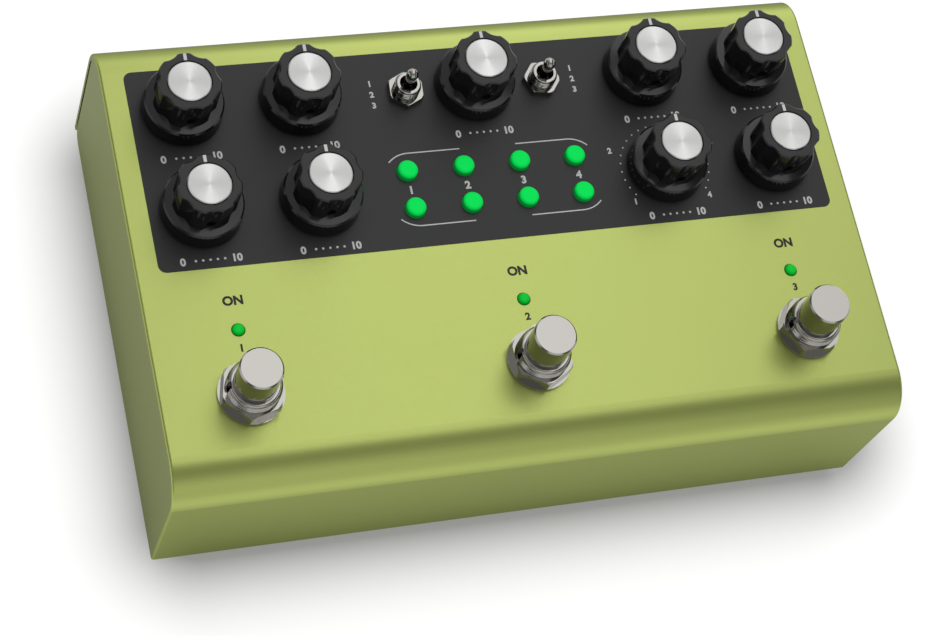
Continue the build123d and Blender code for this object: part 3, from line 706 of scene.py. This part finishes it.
# The three places of each toggle are numbered on its outer side.
# The numbers stand in a column beside the nut.
toggle_label_out = 8.2 * MM
toggle_label_step = 2.9 * MM
for side, outward in (("left", -1), ("right", 1)):
    centre = node_centre(f"toggle_lever_{side}")
    for text, step in (("1", 1), ("2", 0), ("3", -1)):
        white_marks.append(lettering(text, fine_height, centre.x + outward * toggle_label_out,
                                     centre.y + step * toggle_label_step, mark_low))

# A fine line brackets the two rows of buttons, open in the middle and at both ends, and the
# columns are numbered between the rows.
column_height = 2.1 * MM
for column in range(1, 5):
    back, front = node_centre(f"button_rear_{column}"), node_centre(f"button_front_{column}")
    white_marks.append(lettering(str(column), column_height, back.x, (back.y + front.y) / 2, mark_low))
bracket_gap = 7.0 * MM
bracket_bend = 20.0 * MM
bracket_radius = 7.0 * MM
bracket_sweep = np.linspace(0, math.radians(45), 16)
bracket_width = 0.3 * MM
rear_line = node_centre("button_rear_1").y + 4.75 * MM
front_line = node_centre("button_front_1").y - 4.5 * MM
for line, inward in ((rear_line, -1), (front_line, 1)):
    across = np.concatenate([[bracket_gap], bracket_bend + bracket_radius * np.sin(bracket_sweep)])
    along = np.concatenate([[line], line + inward * bracket_radius * (1 - np.cos(bracket_sweep))])
    for side in (-1, 1):
        white_marks.append(rule(np.column_stack([side * across, along]), bracket_width, mark_low))
piece("panel_marks", white_marks, white_ink, "base")

# On the green, each foot switch has its lamp marked ON and its number between the two.
# They are in black ink, straight on the anodised top.
lamp_row = (lamp_low.y + lamp_high.y) / 2
lamp_label_height = 2.4 * MM
lamp_label_rise = 7.3 * MM
switch_label_height = 1.9 * MM
switch_label_drop = 4.4 * MM
shell_mark_low = top + mark_lift
black_marks = []
for side, text in (("left", "1"), ("middle", "2"), ("right", "3")):
    x = node_centre(f"footswitch_plunger_{side}").x
    black_marks.append(lettering("ON", lamp_label_height, x, lamp_row + lamp_label_rise, shell_mark_low))
    black_marks.append(lettering(text, switch_label_height, x, lamp_row - switch_label_drop, shell_mark_low))
piece("shell_marks", black_marks, black_ink, "base")

# The floor is a plain white studio table, and it keeps the object's real shadow. Seen by the lens
# or in a reflection it also glows. The glow is dim close round the object, in a box shifted and widened to
# the right, which is a painted shadow. It lifts towards that shadow's outer edge and is dimmer again far
# away, which is painted shade.
floor_half = 4.0
floor_corners = [(-floor_half, -floor_half, 0), (floor_half, -floor_half, 0),
                 (floor_half, floor_half, 0), (-floor_half, floor_half, 0)]
floor_mesh = bpy.data.meshes.new("floor")
floor_mesh.from_pydata(floor_corners, [], [(0, 1, 2, 3)])
floor = bpy.data.objects.new("floor", floor_mesh)
bpy.context.scene.collection.objects.link(floor)
floor_finish, floor_shader = finish_material("floor_white", (0.41, 0.41, 0.415), 0.0, 0.9)
floor_shader.inputs["Specular IOR Level"].default_value = 0.0
floor_shader.inputs["Emission Color"].default_value = (1, 1, 1, 1)
# Painted shadow: the glow drops within this reach of a rounded box round the shell, shifted and widened to
# the right.
shadow_reach = 25 * MM
shadow_corner = 12 * MM
shadow_widen = 3.5 * MM
shadow_shift = 5.5 * MM
lift_start = 30 * MM
lift_stop = 220 * MM
lift_in_painted_shadow = 0.21
lift_edge = 0.85
lift_in_painted_far_shade = 0.50
floor_tree = floor_finish.node_tree
spot = floor_tree.nodes.new("ShaderNodeSeparateXYZ")
floor_tree.links.new(floor_tree.nodes.new("ShaderNodeTexCoord").outputs["Object"], spot.inputs["Vector"])


def past_edge(place, half):
    """Square of how far a place lies outside the half width, 0 within it."""
    outside = math_node(floor_tree, "SUBTRACT", math_node(floor_tree, "ABSOLUTE", place), half)
    return math_node(floor_tree, "POWER", math_node(floor_tree, "MAXIMUM", outside, 0.0), 2.0)


from_middle = math_node(floor_tree, "SUBTRACT", spot.outputs["Y"], middle)
past_side = past_edge(math_node(floor_tree, "SUBTRACT", spot.outputs["X"], shadow_shift),
                      shell_high.x + shadow_widen - shadow_corner)
past_front = past_edge(from_middle, shell_high.y - middle - shadow_corner)
distance = math_node(floor_tree, "SQRT", math_node(floor_tree, "ADD", past_side, past_front))
distance = math_node(floor_tree, "SUBTRACT", distance, shadow_corner)
painted_shadow_nearness = math_node(floor_tree, "POWER", remap(floor_tree, distance, 0.0, shadow_reach, 1.0, 0.0), 2.0)
lift = remap(floor_tree, painted_shadow_nearness, 0.0, 1.0, lift_edge, lift_in_painted_shadow)
# Painted shade: the glow falls off again far from the object.
painted_far_shade = remap(floor_tree, distance, lift_start, lift_stop, 0.0, lift_edge - lift_in_painted_far_shade)
white = math_node(floor_tree, "SUBTRACT", lift, painted_far_shade)
rays = floor_tree.nodes.new("ShaderNodeLightPath")
seen = math_node(floor_tree, "MAXIMUM", rays.outputs["Is Camera Ray"], rays.outputs["Is Glossy Ray"])
seen = math_node(floor_tree, "MAXIMUM", seen, rays.outputs["Is Transmission Ray"])
floor_tree.links.new(math_node(floor_tree, "MULTIPLY", white, seen), floor_shader.inputs["Emission Strength"])
floor_mesh.materials.append(floor_finish)

# Soft studio light: a long soft box above and behind, in a pale room that is lighter low down,
# darker high at both sides of the box and darkest above the front, where nothing is lit.
world = bpy.data.worlds.new("room")
bpy.context.scene.world = world
world.use_nodes = True
world_tree = world.node_tree
background = world_tree.nodes["Background"]
background.inputs["Color"].default_value = (1, 1, 1, 1)
heading = world_tree.nodes.new("ShaderNodeTexCoord").outputs["Generated"]
upward = (0, 0, 1)
beside_box = (1, 0, 0)
above_front = (-0.02, -0.38, 0.925)
horizon_light, wall_light = 0.72, 0.84
overhead_loss = -0.25
side_share, side_return = 0.2, 0.8
front_share = 0.5


def room_shade(direction, start, stop, low, high):
    """How far a heading lies along a direction, either way: start and stop map onto low and high."""
    along = world_tree.nodes.new("ShaderNodeVectorMath")
    along.operation = "DOT_PRODUCT"
    along.inputs[1].default_value = direction
    world_tree.links.new(heading, along.inputs[0])
    share = math_node(world_tree, "ABSOLUTE", along.outputs["Value"])
    return remap(world_tree, share, start, stop, low, high, "SMOOTHSTEP")


room = math_node(world_tree, "ADD", room_shade(upward, 0.0, 0.3, horizon_light, wall_light),
                 room_shade(upward, 0.35, 0.75, 0.0, overhead_loss))
high_sides = math_node(world_tree, "ADD", room_shade(beside_box, 0.30, 0.6, 1.0, side_share),
                       room_shade(beside_box, 0.75, 0.95, 0.0, side_return))
room = math_node(world_tree, "MULTIPLY", room, high_sides)
room = math_node(world_tree, "MULTIPLY", room, room_shade(above_front, 0.88, 0.97, 1.0, front_share))
world_tree.links.new(room, background.inputs["Strength"])

key_from = Vector((0.50, 0.74, 1.05))
key_target = Vector((0, 0, 0.03))
key_turn = math.radians(18)
key = bpy.data.lights.new("soft_box", "AREA")
key.shape = "RECTANGLE"
key.size = 0.75
key.size_y = 2.55
key.energy = 5.05
key_lamp = bpy.data.objects.new("soft_box", key)
key_aim = (key_target - key_from).to_track_quat("-Z", "Y")
key_lamp.location = key_from
key_lamp.rotation_euler = (key_aim @ Quaternion((0, 0, 1), key_turn)).to_euler()
bpy.context.scene.collection.objects.link(key_lamp)

# The camera stands in front and to the left, high up, with a long lens.
# Its place and turn are given by its right, down and forward axes.
lens_px = 2562.19
image_width_px = 936
camera_at = (-190.166 * MM, -232.988 * MM, 574.287 * MM)
right_axis = (0.94915834, -0.21028586, 0.23426119)
down_axis = (-0.10449898, -0.91243546, -0.39565326)
ahead_axis = (0.29694851, 0.35105754, -0.88802038)
view = bpy.data.cameras.new("camera")
view.sensor_fit = "HORIZONTAL"
view.sensor_width = 36.0
view.lens = lens_px / image_width_px * view.sensor_width
view.clip_start = 0.01
camera = bpy.data.objects.new("camera", view)
columns = np.column_stack([right_axis, np.negative(down_axis), np.negative(ahead_axis)])
camera.matrix_world = Matrix.Translation(camera_at) @ Matrix(columns.tolist()).to_4x4()
bpy.context.scene.collection.objects.link(camera)
bpy.context.scene.camera = camera

bpy.context.scene.view_settings.view_transform = "Standard"
